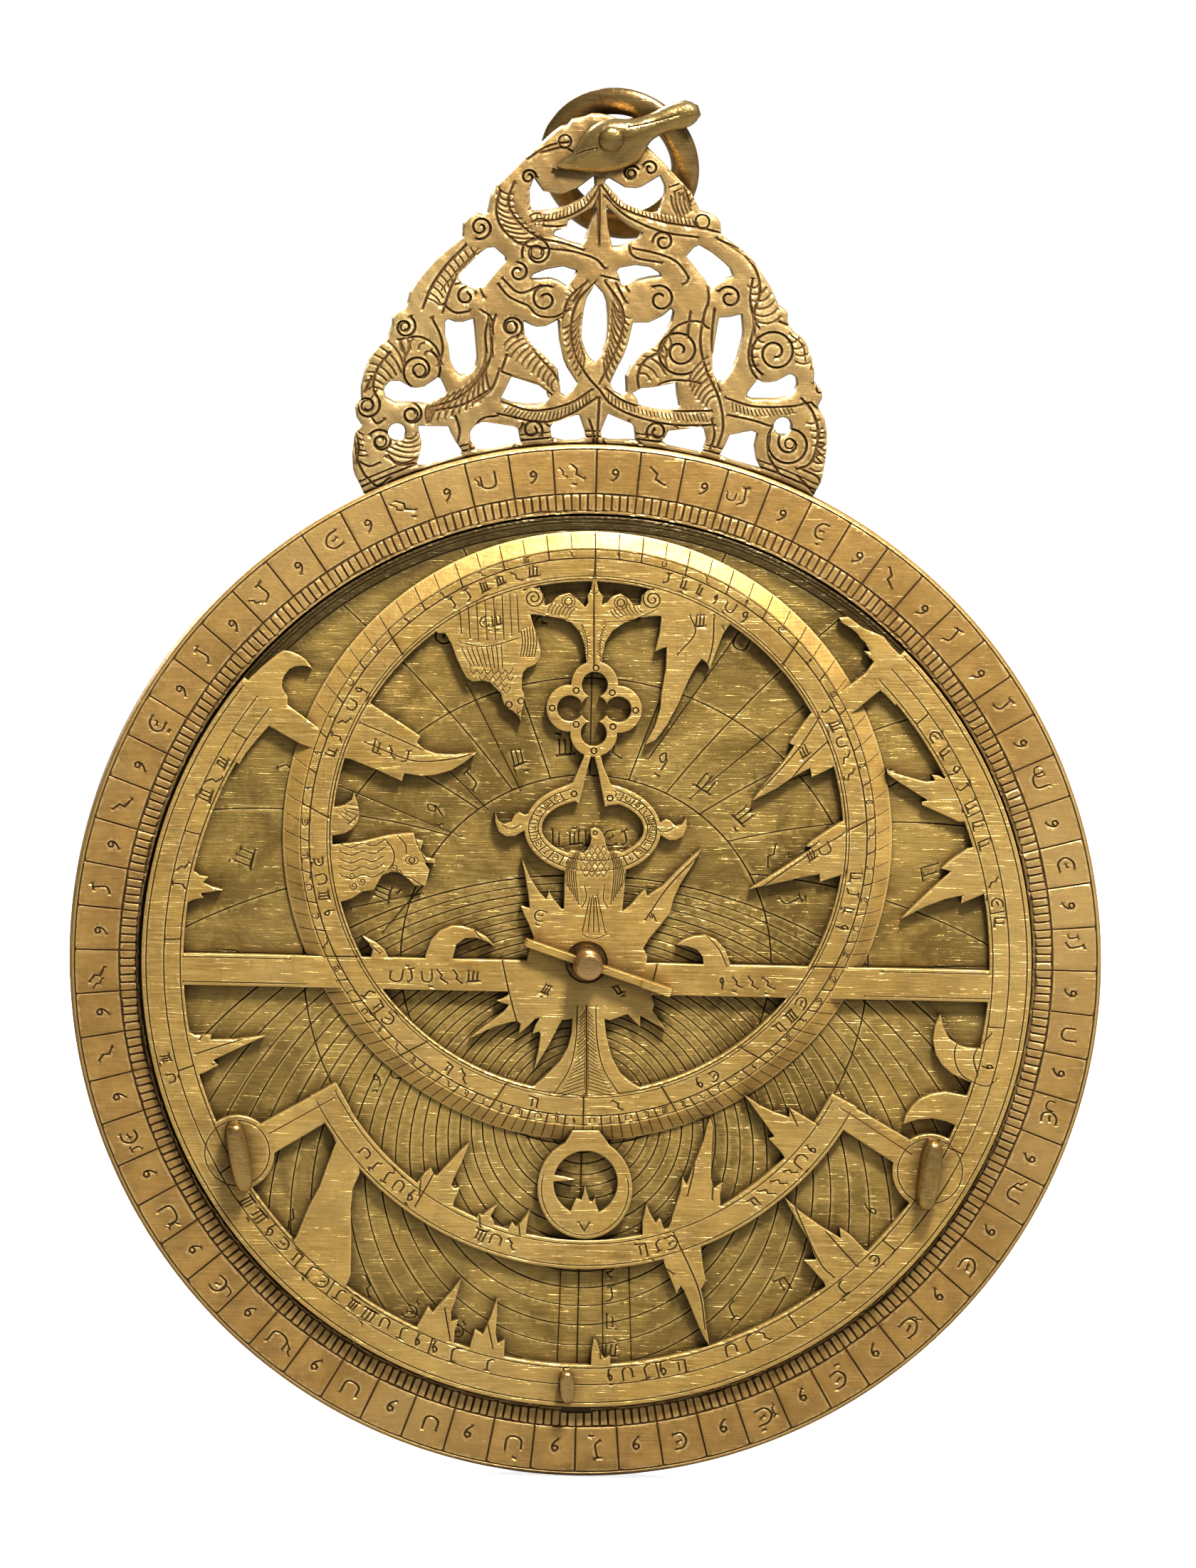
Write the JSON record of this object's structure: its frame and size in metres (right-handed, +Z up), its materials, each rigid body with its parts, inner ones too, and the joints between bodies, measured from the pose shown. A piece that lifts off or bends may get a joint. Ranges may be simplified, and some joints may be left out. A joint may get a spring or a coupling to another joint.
{
  "type": "planispheric astrolabe",
  "caption": "Brass planispheric astrolabe with pierced throne, star-pointer rete, stacked latitude plates, pin with wedge, alidade and folded ring.",
  "frame": {"origin": "on the central pin axis, in the plane of the limb's front face", "axes": "+Z up towards the throne and ring, +X to the right seen from the front, -Y out of the front face along the pin axis"},
  "size_m": [0.151, 0.0264, 0.2033],
  "materials": {
    "mater_brass": "satin",
    "plate_brass": "satin",
    "rete_brass": "satin",
    "fitting_brass": "satin",
    "pin_brass": "polished"
  },
  "bodies": {
    "mater": {"mater_back": "mater_brass", "limb_ring": "mater_brass", "throne": "mater_brass", "plate_1": "plate_brass", "plate_2": "plate_brass", "plate_3": "plate_brass", "plate_4": "plate_brass", "central_pin": "pin_brass", "shackle_rivet": "pin_brass"},
    "rete_body": {"rete": "rete_brass", "rete_knob_left": "fitting_brass", "rete_knob_right": "fitting_brass", "rete_knob_bottom": "fitting_brass"},
    "wedge": {"horse_wedge": "fitting_brass"},
    "alidade_body": {"alidade": "rete_brass", "sight_vane_upper": "fitting_brass", "sight_vane_lower": "fitting_brass"},
    "shackle_body": {"shackle": "fitting_brass"},
    "ring_body": {"suspension_ring": "fitting_brass"}
  },
  "joints": [
    {"name": "rete_turn", "type": "hinge", "parent": "mater", "child": "rete_body", "pos_m": [0, 0, 0], "axis": [0, -1, 0], "continuous": true},
    {"name": "alidade_turn", "type": "hinge", "parent": "mater", "child": "alidade_body", "pos_m": [0, 0.00615, 0], "axis": [0, -1, 0], "continuous": true},
    {"name": "wedge_withdraw", "type": "slide", "parent": "mater", "child": "wedge", "axis": [0.9527, 0, -0.304], "range_m": [0, 0.024]},
    {"name": "shackle_swing", "type": "hinge", "parent": "mater", "child": "shackle_body", "pos_m": [0.0009, 0.0016, 0.1203], "axis": [0, -1, 0], "range_deg": [-8, 75]},
    {"name": "ring_flip", "type": "hinge", "parent": "shackle_body", "child": "ring_body", "pos_m": [0.00885, 0.00305, 0.12301], "axis": [0.7547, 0, -0.6561], "range_deg": [0, 150]}
  ]
}
